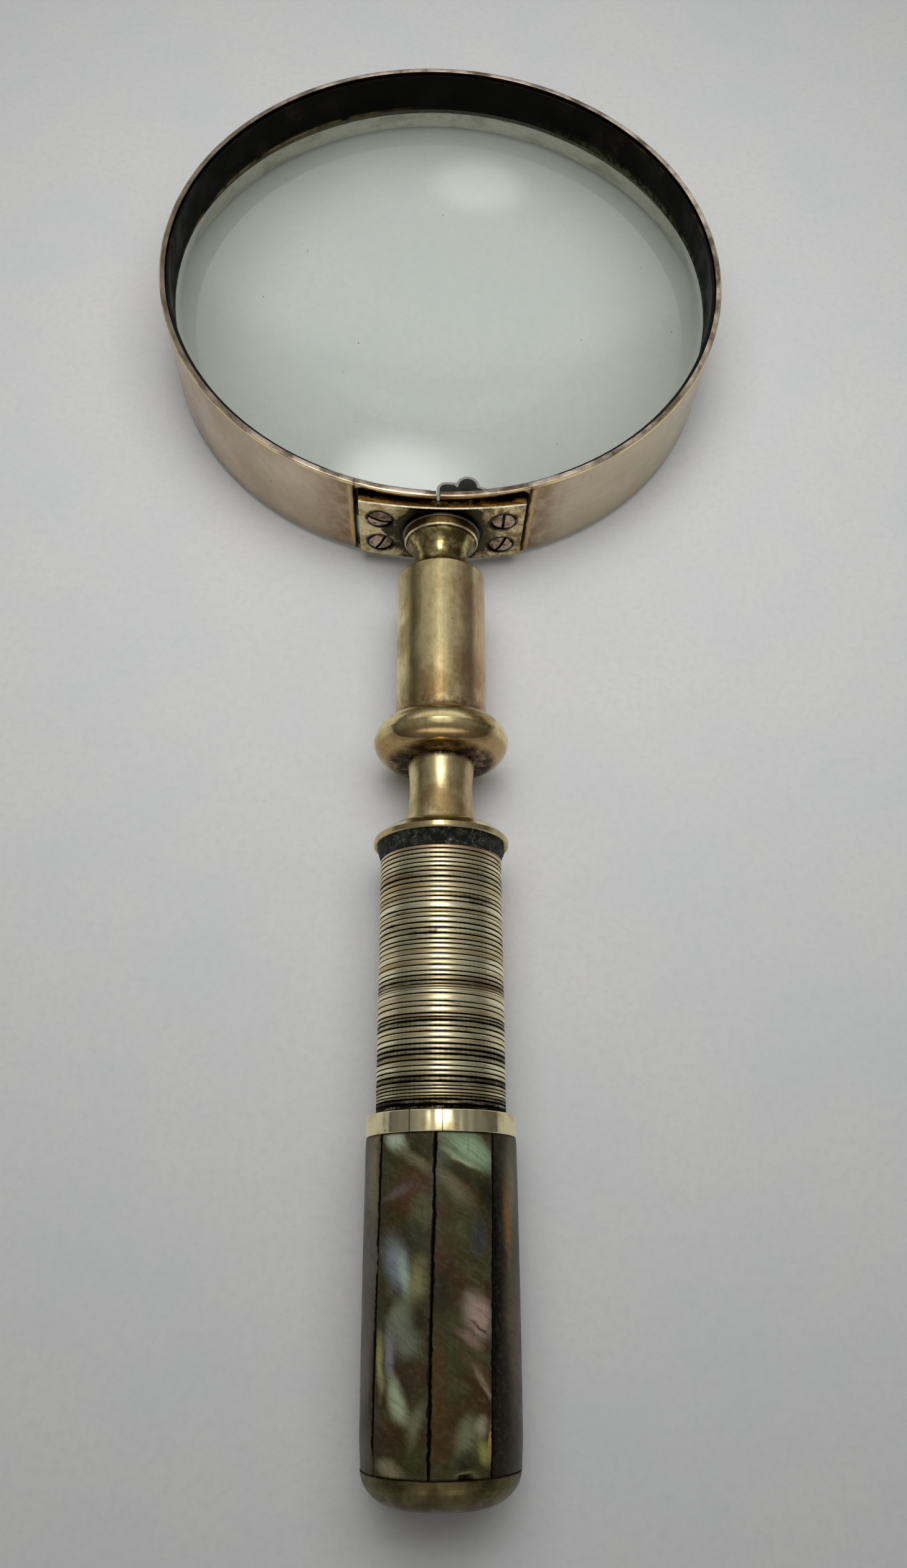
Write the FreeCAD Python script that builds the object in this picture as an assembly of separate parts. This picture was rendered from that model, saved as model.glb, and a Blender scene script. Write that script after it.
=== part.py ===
import FreeCAD, Part
import os
from math import cos, radians, sin, sqrt

# Hand lens: a glass lens in a split brass band, with a turned handle that screws into a saddle plate.
# Origin: centre of the band's lower rim. +Z: up along the lens axis. -Y: along the handle, to its butt.
# Everything is in millimetres. "Station" is the distance from the lens axis along the handle.

V = FreeCAD.Vector

# ---- lens head ----
BAND_R = 52.5               # outer radius of the band
BAND_WALL = 1.1
BAND_HEIGHT = 19.4
RIM_BREAK = 0.15            # broken edge on the band's rims
LENS_R = 51.0
LENS_EDGE = 2.8             # thickness of the lens at its edge
LENS_SAG = 5.6              # rise of each face at the middle of the lens
LENS_LIFT = 0.3             # middle of the lens above the middle of the band
LENS_BEVEL = 0.1
STRIP_WALL = 0.5            # the two flat strips that hold the lens edge between them
STRIP_R = BAND_R - BAND_WALL - 0.05     # their outer radius
STRIP_END = 9.0             # their far edges, from the middle of the band
SEAT_GAP = 0.05             # between the strips and the lens edge
STRIP_GAP = (-2.0, 2.0)     # X of the lower strip's two ends, over the handle
TONGUE_GAP = (-2.0, 7.4)    # X where the upper strip's ring ends and its curled end begins
TONGUE_BASE = 6.9           # lower edge of the upper strip's curled end, over the backing strap
CURL_BASE = 3.4             # its lower edge inside the backing strap
CURL_R = 49.7               # radius inside which it is that wide
TONGUE_SLACK = 0.02         # taken off each face of the curled end
HOOK_BASE = 7.9             # lower edge of its hook, which passes over the saddle plate
HOOK_START = -50.9          # Y where the hook begins
HOOK_TIP = -52.7            # Y of the hook's end, in the split of the band

# ---- saddle plate, its window, straps and screws ----
PLATE_WIDTH = 29.0
PLATE_HEIGHT = 15.3
PLATE_FACE = 53.6           # station of the front face at its middle
PLATE_FACE_R = 89.0         # the front face is flatter than the band
PLATE_BREAK = 0.2
WINDOW_LEFT = -15.5
WINDOW_RIGHT = 15.1
WINDOW_HEIGHT = 17.4
WINDOW_CORNER = 1.5
CUT_REACH = 12.0            # how far in the window and the split are cut, from the band's face
SPLIT_X = -0.8              # the split where the ends of the band meet
SPLIT_WIDTH = 0.7
STRAP_HALF_ANGLE = 19.5     # degrees each side of the handle
STRAP_WALL = 0.8
STRAP_NEAR = 2.0            # edges of the straps, from the middle of the band
STRAP_FAR = 6.5
SCREW_X = 10.8
SCREW_UP = 3.2
SCREW_DOWN = -3.8
SCREW_HEAD_R = 2.05
SCREW_HEAD = 1.2
SCREW_DOME = 0.25           # top of the domed head above the plate's face
SCREW_EDGE = 0.1            # edge of the dome below it
SCREW_SHANK_R = 1.0
SCREW_CLEAR = 0.12          # round each head, in its counterbore
SLOT_WIDTH = 0.5
SLOT_DEPTH = 0.7
SLOT_ANGLES = {(-1, 1): -22, (-1, -1): 65, (1, 1): 90, (1, -1): 68}    # degrees from +X

# ---- stud and socket ----
THREAD_R = 3.0              # bore of the saddle plate
THREAD_CLEAR = 0.05
THREAD_BREAK = 0.2          # chamfer on the shank's tip
TIP_RECESS = 0.1            # shank's tip below the plate's back
WASHER_R = 6.8
WASHER = (53.7, 54.15)      # stations of its two faces
WASHER_BREAK = 0.15
COLLAR_R = 6.5
COLLAR = (54.2, 55.7)
COLLAR_BREAK = 0.25
FLARE_MIDDLE = (57.4, 5.05) # station and radius half way down the flare
FLARE_END = 61.6
STUD_NECK_R = 4.6
SPIGOT_END = 76.0
TUBE_R = 7.5
TUBE = (63.1, 91.0)
EDGE_ROUND = 0.5

# ---- bead, neck and flange ----
BEAD_R = 11.05
BEAD_END = 98.1
BEAD_ROOT_R = 8.4           # radius where the bead meets the tube
BEAD_SHOULDER = (92.5, 10.3)    # station and radius on its front curve
BEAD_CREST = 94.6           # station of its full radius
BEAD_UNDER = (96.8, 9.95)   # station and radius on its back curve
BEAD_FOOT_R = 7.2           # radius where it meets the neck
NECK_R = 5.05               # at the waist
NECK_TOP_R = 5.5
NECK_BASE_R = 5.8
NECK_END = 109.4
FLANGE_ROOT_R = 5.9
FLANGE_DISH = (109.95, 8.4) # station and radius half way up its dished face
FLANGE_R = 10.65
FLANGE_RIM = 1.1
TURNED_BREAK = 0.2          # broken edges of the flange and the ferrule
FLANGE_END = 112.6

# ---- grip ----
PACKING_END = 115.0
PACKING_R = (10.2, 9.8, 9.6)    # at the flange, half way, at the winding
GRIP_CORE_R = 8.6
WINDING_R = 9.55
WINDING_END = 153.8
WIRE_ROUND = 0.25           # height of each turn's crown above the groove beside it
TURNS = 52
FERRULE_R = 11.03
FERRULE_END = 156.8
NOSE_R = 6.9                # stepped-down ends of the two wooden cores
CORE_R = 8.6

# ---- butt ----
STAVES = 8
STAVE_R = 10.85
STAVE_BELLY = (184.4, 10.95)    # station and radius of the fullest part
STAVE_END_R = 10.65
STAVE_END = 198.2
STAVE_SEAM = 0.06           # cut from each side of a stave
FIRST_SEAM = 41.0           # degrees from straight up to a seam, towards +X
CAP_R = 10.6
CAP_SHOULDER = (199.0, 10.45)   # station and radius of points on the cap's rounded profile
CAP_TURN = (199.7, 10.2)
CAP_DOME = (201.2, 8.9)
CAP_END = 202.0
BUTTON_R = 4.2
BUTTON_END = 202.6
BUTTON_SEAT = 201.4
BUTTON_BREAK = 0.25
BARREL_R = 3.4
BARREL_START = 194.0

# ---- tie rod, which pulls the handle together ----
ROD_R = 2.2
ROD = (68.0, 200.4)
ROD_SLACK = 0.2             # between the end of the rod and the bottom of the cap nut's bore
SLIP = 0.05                 # radial gap between turned parts that fit over one another

MID_Z = BAND_HEIGHT / 2     # height of the handle axis and the middle of the band
BORE_R = BAND_R - BAND_WALL
UP = V(0, 0, 1)
FAR = 400.0                 # longer than the part, for cutting tools
OVER = 1.0                  # how far a cutting tool stands clear of the face it cuts
SAME = 1e-4                 # lengths closer than this are equal

# Plan of the upper strip's curled end, from the hook to the ring. Pairs of points are arcs.
TONGUE_ROOT = 7.7
TONGUE_MIDDLE_R = STRIP_R - STRIP_WALL / 2
TONGUE_ROUTE = [(SPLIT_X, -50.7), ((-0.35, -49.65), (0.8, -49.3)), (2.1, -49.35), (2.45, -49.8),
                ((4.2, -48.05), (6.1, -49.9)),
                (TONGUE_ROOT, -sqrt(TONGUE_MIDDLE_R ** 2 - TONGUE_ROOT ** 2))]


def on_ring(point):
    """Radius from the lens axis and height above the middle of the band, as a point."""
    return V(point[0], 0, MID_Z + point[1])


def on_handle(point):
    """Station and radius, as a point above the handle axis."""
    return V(0, -point[0], MID_Z + point[1])


def on_plan(point):
    """X and Y, as a point at the middle of the band."""
    return V(point[0], point[1], MID_Z)


def path(place, start, steps):
    """Edges from start on. A step is the next point, or (middle, end) for an arc."""
    edges = []
    here = place(start)
    for step in steps:
        if isinstance(step[0], tuple):
            end = place(step[1])
            edges.append(Part.Arc(here, place(step[0]), end).toShape())
        else:
            end = place(step)
            edges.append(Part.makeLine(here, end))
        here = end
    return edges


def section(place, start, steps):
    """Face inside an outline, closed with a straight run if it doesn't end at its start."""
    edges = path(place, start, steps)
    last = edges[-1].lastVertex().Point
    first = place(start)
    if last.distanceToPoint(first) > SAME:
        edges.append(Part.makeLine(last, first))
    return Part.Face(Part.Wire(edges))


def hooped(start, *steps):
    """Solid turned about the lens axis from an outline of radius and height."""
    return section(on_ring, start, list(steps)).revolve(V(0, 0, 0), UP, 360)


def turned(start, *steps):
    """Solid turned about the handle axis from an outline of station and radius."""
    return section(on_handle, start, list(steps)).revolve(V(0, 0, MID_Z), V(0, 1, 0), 360)


def block(low, high):
    return Part.makeBox(high[0] - low[0], high[1] - low[1], high[2] - low[2], V(*low))


def handle_bore(start, end, radius):
    """Cutting cylinder on the handle axis."""
    return Part.makeCylinder(radius, end - start, V(0, -start, MID_Z), V(0, -1, 0))


def between_rays(radius_in, radius_out, low, high, half_angle):
    """Part of a hoop within half_angle degrees of the handle."""
    outline = [(radius_in, low), (radius_out, low), (radius_out, high), (radius_in, high)]
    arc = section(on_ring, outline[0], outline[1:]).revolve(V(0, 0, 0), UP, 2 * half_angle)
    return turn_about_lens(arc, -90 - half_angle)


def turn_about_lens(shape, angle):
    shape.rotate(V(0, 0, 0), UP, angle)
    return shape


# ---- lens head ----

def frame_band():
    """Split band with a window for the saddle plate."""
    half = BAND_HEIGHT / 2
    inner = half - RIM_BREAK
    band = hooped((BORE_R, -inner), (BORE_R + RIM_BREAK, -half), (BAND_R - RIM_BREAK, -half),
                  (BAND_R, -inner), (BAND_R, inner), (BAND_R - RIM_BREAK, half),
                  (BORE_R + RIM_BREAK, half), (BORE_R, inner))
    front = -BAND_R - OVER
    back = -BAND_R + CUT_REACH
    window = block((WINDOW_LEFT, front, MID_Z - WINDOW_HEIGHT / 2),
                   (WINDOW_RIGHT, back, MID_Z + WINDOW_HEIGHT / 2))
    corners = [e for e in window.Edges if abs(e.tangentAt(e.FirstParameter).y) > 0.9]
    window = window.makeFillet(WINDOW_CORNER, corners)
    split = block((SPLIT_X - SPLIT_WIDTH / 2, front, -OVER),
                  (SPLIT_X + SPLIT_WIDTH / 2, back, BAND_HEIGHT + OVER))
    return band.cut(window).cut(split)


def lens():
    """Biconvex glass with a bevelled edge."""
    edge = LENS_EDGE / 2
    rim = LENS_R - LENS_BEVEL
    face_r = (rim ** 2 + LENS_SAG ** 2) / (2 * LENS_SAG)
    mid_r = rim / 2
    mid_h = edge + LENS_SAG - (face_r - sqrt(face_r ** 2 - mid_r ** 2))

    def at(radius, height):
        return (radius, height + LENS_LIFT)

    return hooped(at(0, -edge - LENS_SAG), (at(mid_r, -mid_h), at(rim, -edge)),
                  at(LENS_R, -edge + LENS_BEVEL), at(LENS_R, edge - LENS_BEVEL), at(rim, edge),
                  (at(mid_r, mid_h), at(0, edge + LENS_SAG)))


def strip_ring(low, high, gap):
    """Flat strip bent into a ring, open over the handle between two X positions."""
    inner = STRIP_R - STRIP_WALL
    ring = hooped((inner, low), (STRIP_R, low), (STRIP_R, high), (inner, high))
    return ring.cut(block((gap[0], -BAND_R, 0), (gap[1], -BAND_R + CUT_REACH, BAND_HEIGHT)))


def curled_tongue():
    """Narrow end of the upper strip: an arch, a low hump, and a hook out through the split."""
    line = Part.Wire(path(on_plan, (SPLIT_X, HOOK_TIP), TONGUE_ROUTE))
    around = line.makeOffset2D(STRIP_WALL / 2 - TONGUE_SLACK)
    around.translate(V(0, 0, CURL_BASE))
    tongue = Part.Face(around).extrude(V(0, 0, STRIP_END - CURL_BASE))
    tongue = tongue.cut(hooped((CURL_R, 0), (FAR, 0), (FAR, TONGUE_BASE), (CURL_R, TONGUE_BASE)))
    under_hook = block((SPLIT_X - OVER, -BAND_R - OVER, 0),
                       (SPLIT_X + OVER, HOOK_START, MID_Z + HOOK_BASE))
    return tongue.cut(under_hook)


def retaining_strip_upper():
    lens_top = LENS_LIFT + LENS_EDGE / 2
    ring = strip_ring(lens_top + SEAT_GAP, STRIP_END, TONGUE_GAP)
    for side in (-1, 1):
        ring = ring.cut(screw_hole(side, SCREW_UP, SCREW_SHANK_R + SLIP))
    return ring.fuse(curled_tongue()).removeSplitter()


def retaining_strip_lower():
    lens_bottom = LENS_LIFT - LENS_EDGE / 2
    ring = strip_ring(-STRIP_END, lens_bottom - SEAT_GAP, STRIP_GAP)
    for side in (-1, 1):
        ring = ring.cut(screw_hole(side, SCREW_DOWN, SCREW_SHANK_R + SLIP))
    return ring


def plate_station(x):
    """Station of the saddle plate's front face at a distance from its middle."""
    return PLATE_FACE - (PLATE_FACE_R - sqrt(PLATE_FACE_R ** 2 - x ** 2))


def screw_hole(side, height, radius):
    """Cutting cylinder along a plate screw, from in front of the plate to the middle of the lens."""
    return Part.makeCylinder(radius, PLATE_FACE + OVER,
                             V(side * SCREW_X, -PLATE_FACE - OVER, MID_Z + height), V(0, 1, 0))


def counterbore(side, height):
    """Cutting cylinder for a screw's head."""
    depth = plate_station(SCREW_X) - SCREW_HEAD
    return Part.makeCylinder(SCREW_HEAD_R + SCREW_CLEAR, SCREW_HEAD + OVER,
                             V(side * SCREW_X, -depth, MID_Z + height), V(0, -1, 0))


def saddle_plate():
    """Curved plate in the window, bored for the stud and counterbored for four screws."""
    half = PLATE_WIDTH / 2
    ends = plate_station(half)
    back = STRIP_R + SLIP
    back_end = sqrt(back ** 2 - half ** 2)
    outline = section(on_plan, (-half, -back_end),
                      [(-half, -ends), ((0, -PLATE_FACE), (half, -ends)), (half, -back_end),
                       ((0, -back), (-half, -back_end))])
    outline.translate(V(0, 0, -PLATE_HEIGHT / 2))
    plate = outline.extrude(V(0, 0, PLATE_HEIGHT))
    front = [e for e in plate.Edges
             if isinstance(e.Curve, Part.Circle) and abs(e.Curve.Radius - PLATE_FACE_R) < SAME]
    plate = plate.makeChamfer(PLATE_BREAK, front)
    plate = plate.cut(handle_bore(0, FAR, THREAD_R))
    for side in (-1, 1):
        for height in (SCREW_UP, SCREW_DOWN):
            plate = plate.cut(screw_hole(side, height, SCREW_SHANK_R + SLIP))
            plate = plate.cut(counterbore(side, height))
    return plate


def backing_strap(low, high, screw_height):
    """Curved bar inside the strips, longer than the window, tapped for two plate screws."""
    outer = STRIP_R - STRIP_WALL - SLIP
    strap = between_rays(outer - STRAP_WALL, outer, low, high, STRAP_HALF_ANGLE)
    for side in (-1, 1):
        strap = strap.cut(screw_hole(side, screw_height, SCREW_SHANK_R))
    return strap


def plate_screw(side, height):
    """Slotted cheese-head screw, its head sunk in the saddle plate."""
    face = plate_station(SCREW_X)
    tip = sqrt((STRIP_R - STRIP_WALL - STRAP_WALL) ** 2 - SCREW_X ** 2)
    seat = face - SCREW_HEAD
    crown = face + SCREW_DOME
    edge = face - SCREW_EDGE
    half_way = crown - (crown - edge) / 4
    screw = turned((tip, 0), (tip, SCREW_SHANK_R), (seat, SCREW_SHANK_R), (seat, SCREW_HEAD_R),
                   (edge, SCREW_HEAD_R), ((half_way, SCREW_HEAD_R / 2), (crown, 0)))
    slot = block((-FAR, -crown - OVER, MID_Z - SLOT_WIDTH / 2),
                 (FAR, -crown + SLOT_DEPTH, MID_Z + SLOT_WIDTH / 2))
    slot.rotate(V(0, 0, MID_Z), V(0, 1, 0), -SLOT_ANGLES[(side, 1 if height > 0 else -1)])
    screw = screw.cut(slot)
    screw.translate(V(side * SCREW_X, 0, height))
    return screw


def plate_screws():
    return Part.makeCompound([plate_screw(side, height)
                              for side in (-1, 1) for height in (SCREW_UP, SCREW_DOWN)])


# ---- handle ----

def stud_washer():
    front = WASHER[1]
    return turned((WASHER[0], THREAD_R + SLIP), (WASHER[0], WASHER_R), (front - WASHER_BREAK, WASHER_R),
                  (front, WASHER_R - WASHER_BREAK), (front, THREAD_R + SLIP))


def handle_stud():
    """Threaded shank, collar, hollow flare and a spigot that fills the front of the socket."""
    shank = THREAD_R - THREAD_CLEAR
    tip = STRIP_R + TIP_RECESS
    start, front = COLLAR
    stud = turned((tip, 0), (tip, shank - THREAD_BREAK), (tip + THREAD_BREAK, shank), (start, shank),
                  (start, COLLAR_R), (front - COLLAR_BREAK, COLLAR_R), (front, COLLAR_R - COLLAR_BREAK),
                  (FLARE_MIDDLE, (FLARE_END, STUD_NECK_R)), (SPIGOT_END, STUD_NECK_R), (SPIGOT_END, 0))
    return stud.cut(handle_bore(ROD[0], FAR, ROD_R + SLIP))


def socket_tube():
    start, end = TUBE
    corner = EDGE_ROUND * (1 - cos(radians(45)))
    return turned((start, STUD_NECK_R + SLIP), (start, TUBE_R - EDGE_ROUND),
                  ((start + corner, TUBE_R - corner), (start + EDGE_ROUND, TUBE_R)), (end, TUBE_R),
                  (end, STUD_NECK_R + SLIP))


def bead_collar():
    start, end = TUBE[1], BEAD_END
    bore = ROD_R + SLIP
    return turned((start, bore), (start, BEAD_ROOT_R), (BEAD_SHOULDER, (BEAD_CREST, BEAD_R)),
                  (BEAD_UNDER, (end, BEAD_FOOT_R)), (end, bore))


def neck_tube():
    """Waisted neck with a swept foot."""
    bore = ROD_R + SLIP
    waist = (BEAD_END + NECK_END) / 2
    return turned((BEAD_END, bore), (BEAD_END, NECK_TOP_R), ((waist, NECK_R), (NECK_END, NECK_BASE_R)),
                  (NECK_END, bore))


def top_flange():
    """Thin dished flange over the top of the grip."""
    bore = ROD_R + SLIP
    rim = FLANGE_END - FLANGE_RIM
    edge_r = FLANGE_R - TURNED_BREAK
    return turned((NECK_END, bore), (NECK_END, FLANGE_ROOT_R), (FLANGE_DISH, (rim, edge_r)),
                  (rim + TURNED_BREAK, FLANGE_R), (FLANGE_END - TURNED_BREAK, FLANGE_R),
                  (FLANGE_END, edge_r), (FLANGE_END, bore))


def packing_ring():
    """Ring of cement between the flange and the winding."""
    start_r, middle_r, end_r = PACKING_R
    middle = (FLANGE_END + PACKING_END) / 2
    return turned((FLANGE_END, NOSE_R + SLIP), (FLANGE_END, start_r),
                  ((middle, middle_r), (PACKING_END, end_r)), (PACKING_END, NOSE_R + SLIP))


def grip_core():
    """Wooden core, stepped down at the front for the packing ring."""
    bore = ROD_R + SLIP
    return turned((FLANGE_END, bore), (FLANGE_END, NOSE_R), (PACKING_END, NOSE_R),
                  (PACKING_END, GRIP_CORE_R), (WINDING_END, GRIP_CORE_R), (WINDING_END, bore))


def wire_winding():
    """Close-wound wire, as touching round turns on a sleeve."""
    pitch = (WINDING_END - PACKING_END) / TURNS
    crest = WINDING_R
    root = WINDING_R - WIRE_ROUND
    inner = GRIP_CORE_R + SLIP
    steps = [(PACKING_END, root)]
    for turn in range(TURNS):
        start = PACKING_END + turn * pitch
        steps.append(((start + pitch / 2, crest), (start + pitch, root)))
    steps.append((WINDING_END, inner))
    return turned((PACKING_END, inner), *steps)


def ferrule():
    edge_r = FERRULE_R - TURNED_BREAK
    return turned((WINDING_END, NOSE_R + SLIP), (WINDING_END, edge_r),
                  (WINDING_END + TURNED_BREAK, FERRULE_R), (FERRULE_END - TURNED_BREAK, FERRULE_R),
                  (FERRULE_END, edge_r), (FERRULE_END, NOSE_R + SLIP))


def butt_core():
    """Wooden core of the butt, with a nose that carries the ferrule and a bore for the tie rod."""
    core = turned((WINDING_END, 0), (WINDING_END, NOSE_R), (FERRULE_END, NOSE_R),
                  (FERRULE_END, CORE_R), (STAVE_END, CORE_R), (STAVE_END, 0))
    core = core.cut(handle_bore(0, BARREL_START, ROD_R + SLIP))
    return core.cut(handle_bore(BARREL_START, FAR, BARREL_R + SLIP))


def seam_point(angle, reach, inset):
    """Point at the front of the butt, along a seam from the axis and moved sideways off it."""
    a = radians(angle)
    return V(reach * sin(a) + inset * cos(a), -FERRULE_END + OVER,
             MID_Z + reach * cos(a) - inset * sin(a))


def pearl_stave(index):
    """One of the shell staves round the butt, as a sector of the whole sleeve."""
    sleeve = turned((FERRULE_END, CORE_R + SLIP), (FERRULE_END, STAVE_R),
                    (STAVE_BELLY, (STAVE_END, STAVE_END_R)), (STAVE_END, CORE_R + SLIP))
    width = 360 / STAVES
    first = FIRST_SEAM + index * width
    last = first + width
    reach = 2 * STAVE_R
    apex = seam_point((first + last) / 2, STAVE_SEAM / sin(radians(width / 2)), 0)
    corners = [apex, seam_point(first, reach, STAVE_SEAM), seam_point(last, reach, -STAVE_SEAM), apex]
    length = STAVE_END - FERRULE_END + 2 * OVER
    wedge = Part.Face(Part.makePolygon(corners)).extrude(V(0, -length, 0))
    return sleeve.common(wedge)


def tie_rod():
    return handle_bore(ROD[0], ROD[1], ROD_R)


def end_cap():
    """Domed brass cap with a hole for the barrel of the cap nut."""
    cap = turned((STAVE_END, 0), (STAVE_END, CAP_R), (CAP_SHOULDER, CAP_TURN),
                 (CAP_DOME, (CAP_END, BUTTON_R)), (CAP_END, 0))
    cap = cap.cut(handle_bore(0, FAR, BARREL_R + SLIP))
    return cap.cut(handle_bore(BUTTON_SEAT, FAR, BUTTON_R + SLIP))


def cap_nut():
    """Flat button on a tapped barrel, which pulls the tie rod tight."""
    nut = turned((BARREL_START, 0), (BARREL_START, BARREL_R), (BUTTON_SEAT, BARREL_R),
                 (BUTTON_SEAT, BUTTON_R), (BUTTON_END - BUTTON_BREAK, BUTTON_R),
                 (BUTTON_END, BUTTON_R - BUTTON_BREAK), (BUTTON_END, 0))
    return nut.cut(handle_bore(0, ROD[1] + ROD_SLACK, ROD_R + SLIP))


def all_parts():
    shapes = {
        "frame_band": frame_band(),
        "lens": lens(),
        "retaining_strip_upper": retaining_strip_upper(),
        "retaining_strip_lower": retaining_strip_lower(),
        "saddle_plate": saddle_plate(),
        "backing_strap_upper": backing_strap(STRAP_NEAR, STRAP_FAR, SCREW_UP),
        "backing_strap_lower": backing_strap(-STRAP_FAR, -STRAP_NEAR, SCREW_DOWN),
        "plate_screws": plate_screws(),
        "stud_washer": stud_washer(),
        "handle_stud": handle_stud(),
        "socket_tube": socket_tube(),
        "bead_collar": bead_collar(),
        "neck_tube": neck_tube(),
        "top_flange": top_flange(),
        "packing_ring": packing_ring(),
        "grip_core": grip_core(),
        "wire_winding": wire_winding(),
        "ferrule": ferrule(),
        "butt_core": butt_core(),
        "tie_rod": tie_rod(),
        "end_cap": end_cap(),
        "cap_nut": cap_nut(),
    }
    for index in range(STAVES):
        shapes["pearl_stave_%d" % (index + 1)] = pearl_stave(index)
    return shapes


os.makedirs("parts", exist_ok=True)
for name, shape in all_parts().items():
    shape.exportStep("parts/%s.step" % name)
    print("%-24s %9.1f mm3 %d solid(s) valid=%s" % (name, shape.Volume, len(shape.Solids), shape.isValid()))
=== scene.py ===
import math
import random

import bmesh
import bpy
from mathutils import Matrix, Vector, noise


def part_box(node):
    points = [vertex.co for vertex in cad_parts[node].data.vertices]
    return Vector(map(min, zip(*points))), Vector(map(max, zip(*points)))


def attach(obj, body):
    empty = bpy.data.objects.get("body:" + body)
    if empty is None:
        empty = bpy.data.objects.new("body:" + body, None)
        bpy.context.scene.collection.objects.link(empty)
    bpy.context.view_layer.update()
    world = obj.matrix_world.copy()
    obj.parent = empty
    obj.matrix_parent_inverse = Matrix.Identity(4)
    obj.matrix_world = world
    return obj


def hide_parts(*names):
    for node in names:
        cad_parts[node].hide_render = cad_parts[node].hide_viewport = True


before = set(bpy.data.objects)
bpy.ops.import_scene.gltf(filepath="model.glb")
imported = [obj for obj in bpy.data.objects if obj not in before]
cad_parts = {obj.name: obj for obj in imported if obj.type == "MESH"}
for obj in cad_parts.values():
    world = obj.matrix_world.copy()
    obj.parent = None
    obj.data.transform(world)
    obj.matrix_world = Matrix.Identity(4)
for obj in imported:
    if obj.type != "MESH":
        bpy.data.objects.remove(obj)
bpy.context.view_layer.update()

# Hand lens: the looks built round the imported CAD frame. Objects are in metres, and the working
# numbers below are in millimetres. "Station" is the distance from the lens axis along the handle.

MM = 0.001
AXIS_Z = sum(corner.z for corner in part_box("tie_rod")) / 2 / MM     # height of the handle axis


# ---- helpers for sizes ----

def stations(node):
    """First and last station of a CAD node, in millimetres."""
    low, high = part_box(node)
    return -high.y / MM, -low.y / MM


def radius(node):
    """Outer radius of a round CAD node, in millimetres."""
    low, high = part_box(node)
    return (high.x - low.x) / 2 / MM


def lerp(a, b, t):
    return a + (b - a) * t


def smooth(t):
    t = min(max(t, 0.0), 1.0)
    return t * t * (3 - 2 * t)


def ripple(x, y, seed):
    """Smooth random value from about -1 to 1."""
    return noise.noise(Vector((x, y, seed * 7.31)))


# ---- helpers for meshes ----

def on_handle(station, r, angle):
    """Point round the handle axis, in metres. The angle is in radians from straight up, towards +X."""
    return Vector((r * math.sin(angle), -station, AXIS_Z + r * math.cos(angle))) * MM


def on_lens_axis(height, r, angle):
    """Point round the lens axis, in metres."""
    return Vector((r * math.cos(angle), r * math.sin(angle), height)) * MM


def finish_mesh(name, bm, sharp=35.0):
    """Object from a bmesh, shaded smooth apart from edges sharper than the given angle."""
    bmesh.ops.recalc_face_normals(bm, faces=bm.faces)
    for face in bm.faces:
        face.smooth = True
    for edge in bm.edges:
        edge.smooth = len(edge.link_faces) == 2 and edge.calc_face_angle() < math.radians(sharp)
    mesh = bpy.data.meshes.new(name)
    bm.to_mesh(mesh)
    bm.free()
    piece = bpy.data.objects.new(name, mesh)
    bpy.context.scene.collection.objects.link(piece)
    return piece


def rounded(corners, size):
    """Profile with its corners rounded. A corner is (position, radius) or (position, radius, size)."""
    steps = 4
    points = []
    for i, corner in enumerate(corners):
        here = Vector(corner[:2])
        before = Vector(corners[i - 1][:2])
        after = Vector(corners[(i + 1) % len(corners)][:2])
        reach = corner[2] if len(corner) > 2 else size
        reach = min(reach, (here - before).length * 0.45, (after - here).length * 0.45)
        if reach < 0.005 or abs((here - before).angle(after - here)) < math.radians(12):
            points.append(tuple(here))
            continue
        a = here + (before - here).normalized() * reach
        b = here + (after - here).normalized() * reach
        for k in range(steps + 1):
            t = k / steps
            points.append(tuple(a * (1 - t) ** 2 + here * 2 * t * (1 - t) + b * t ** 2))
    return points


def lathe(name, profile, segments, place=on_handle, shape=None):
    """Solid ring turned from a closed profile of (position, radius). Shape may move a point's radius."""
    bm = bmesh.new()
    rings = []
    for k in range(segments):
        angle = 2 * math.pi * k / segments
        ring = []
        for position, r in profile:
            if shape is not None:
                position, r = shape(position, r, angle)
            ring.append(bm.verts.new(place(position, r, angle)))
        rings.append(ring)
    count = len(profile)
    for k in range(segments):
        here, there = rings[k], rings[(k + 1) % segments]
        for i in range(count):
            j = (i + 1) % count
            bm.faces.new((here[i], here[j], there[j], there[i]))
    bmesh.ops.remove_doubles(bm, verts=bm.verts, dist=1e-7)
    return finish_mesh(name, bm)


# ---- helpers for materials ----

def tint(red, green, blue):
    """Linear colour from 0-255 screen values."""
    def linear(value):
        value /= 255
        return value / 12.92 if value <= 0.04045 else ((value + 0.055) / 1.055) ** 2.4
    return (linear(red), linear(green), linear(blue), 1.0)


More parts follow.
